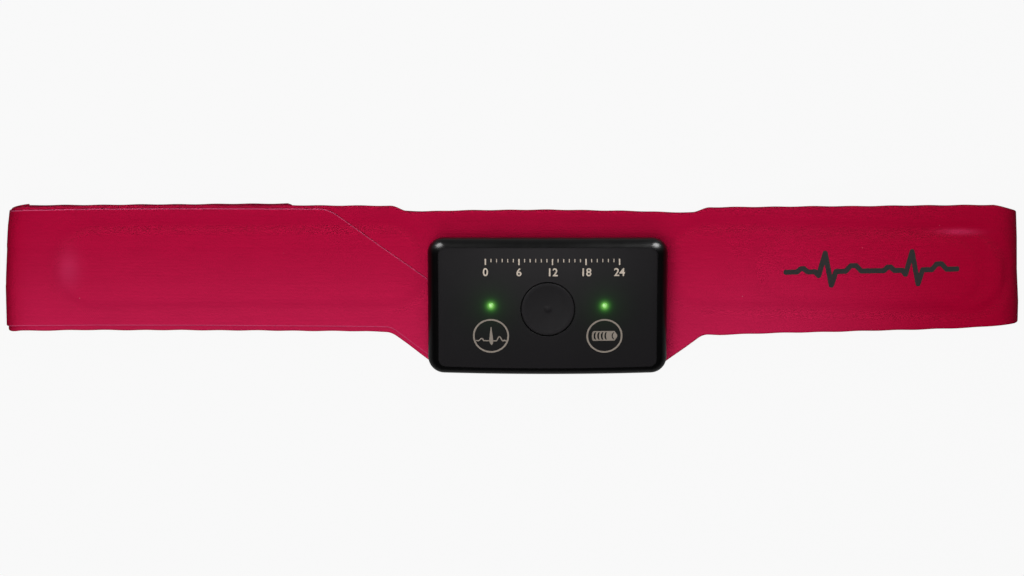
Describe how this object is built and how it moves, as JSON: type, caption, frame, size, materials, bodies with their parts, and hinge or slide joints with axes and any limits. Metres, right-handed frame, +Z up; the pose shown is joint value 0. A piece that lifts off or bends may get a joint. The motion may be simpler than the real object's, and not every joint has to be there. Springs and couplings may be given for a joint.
{
  "type": "holter monitor",
  "caption": "Chest-worn heart recorder snapped onto a textile belt that lies folded flat, with an event button, indicator lights and a hook-and-loop closure.",
  "frame": {"origin": "on the surface that the folded belt lies on, under the middle of the whole part's box", "axes": "+X along the belt to the right of the recorder's face, +Y across the belt to the top of the face, +Z up out of the face"},
  "size_m": [0.318, 0.053, 0.0199],
  "materials": {
    "belt_textile": "crimson laminated knit, matt",
    "belt_web": "crimson elastic webbing, matt",
    "hook_and_loop": "black hook-and-loop tape",
    "electrode_pad": "dark grey soft electrode textile",
    "contact_metal": "gold plated",
    "dock_plastic": "black moulded plastic",
    "snap_steel": "nickel plated",
    "case_gloss": "high gloss black",
    "panel_matt": "fine matt black film",
    "button_matt": "fine matt black",
    "panel_ink": "pale warm grey print on the face panel",
    "belt_ink": "dark grey transfer print on the belt",
    "white_plastic": "white moulded plastic",
    "shield_metal": "tinned sheet",
    "gasket_rubber": "black rubber",
    "board": "green solder mask",
    "light_pipe": "clear plastic, lit green",
    "chip": "black epoxy",
    "foam": "grey foam",
    "battery": "silver pouch foil"
  },
  "bodies": {
    "belt": {"base_band": "belt_textile", "left_cover_layer": "belt_textile", "rear_left_strap": "belt_web", "rear_right_strap": "belt_web", "loop_patch": "hook_and_loop", "left_electrode_pad": "electrode_pad", "right_electrode_pad": "electrode_pad", "centre_electrode_pad": "electrode_pad", "left_conductor": "contact_metal", "right_conductor": "contact_metal", "dock_plate": "dock_plastic", "snap_stud_1": "snap_steel", "snap_stud_2": "snap_steel", "snap_stud_3": "snap_steel", "snap_stud_4": "snap_steel", "stud_cap_1": "snap_steel", "stud_cap_2": "snap_steel", "stud_cap_3": "snap_steel", "stud_cap_4": "snap_steel"},
    "closure_tab": {"closure_tab": "belt_web", "hook_patch": "hook_and_loop"},
    "recorder": {"front_cover": "case_gloss", "face_panel": "panel_matt", "event_switch": "shield_metal", "rear_cover": "case_gloss", "housing_gasket": "gasket_rubber", "main_board": "board", "left_light_pipe": "light_pipe", "right_light_pipe": "light_pipe", "left_led": "white_plastic", "right_led": "white_plastic", "cover_screw_1": "snap_steel", "cover_screw_2": "snap_steel", "cover_screw_3": "snap_steel", "cover_screw_4": "snap_steel", "snap_socket_1": "snap_steel", "snap_socket_2": "snap_steel", "snap_socket_3": "snap_steel", "snap_socket_4": "snap_steel", "contact_pin_1": "contact_metal", "contact_pin_2": "contact_metal", "contact_pin_3": "contact_metal", "contact_pin_4": "contact_metal", "processor": "chip", "memory_chip": "chip", "radio_module": "shield_metal", "signal_chip": "chip", "battery_pad": "foam", "battery_cell": "battery", "battery_connector": "white_plastic", "battery_lead": "gasket_rubber"},
    "event_button": {"event_button": "button_matt", "switch_plunger": "white_plastic"}
  },
  "joints": [
    {"name": "recorder_release", "type": "slide", "parent": "belt", "child": "recorder", "axis": [0, 0, 1], "range_m": [0, 0.03]},
    {"name": "event_button_press", "type": "slide", "parent": "recorder", "child": "event_button", "axis": [0, 0, -1], "range_m": [0, 0.0005], "stiffness_N_per_m": 2000, "springref_m": -0.0002},
    {"name": "closure_peel", "type": "hinge", "parent": "belt", "child": "closure_tab", "pos_m": [-0.112, 0.0055, 0], "axis": [0, 1, 0], "range_deg": [0, 80]}
  ]
}
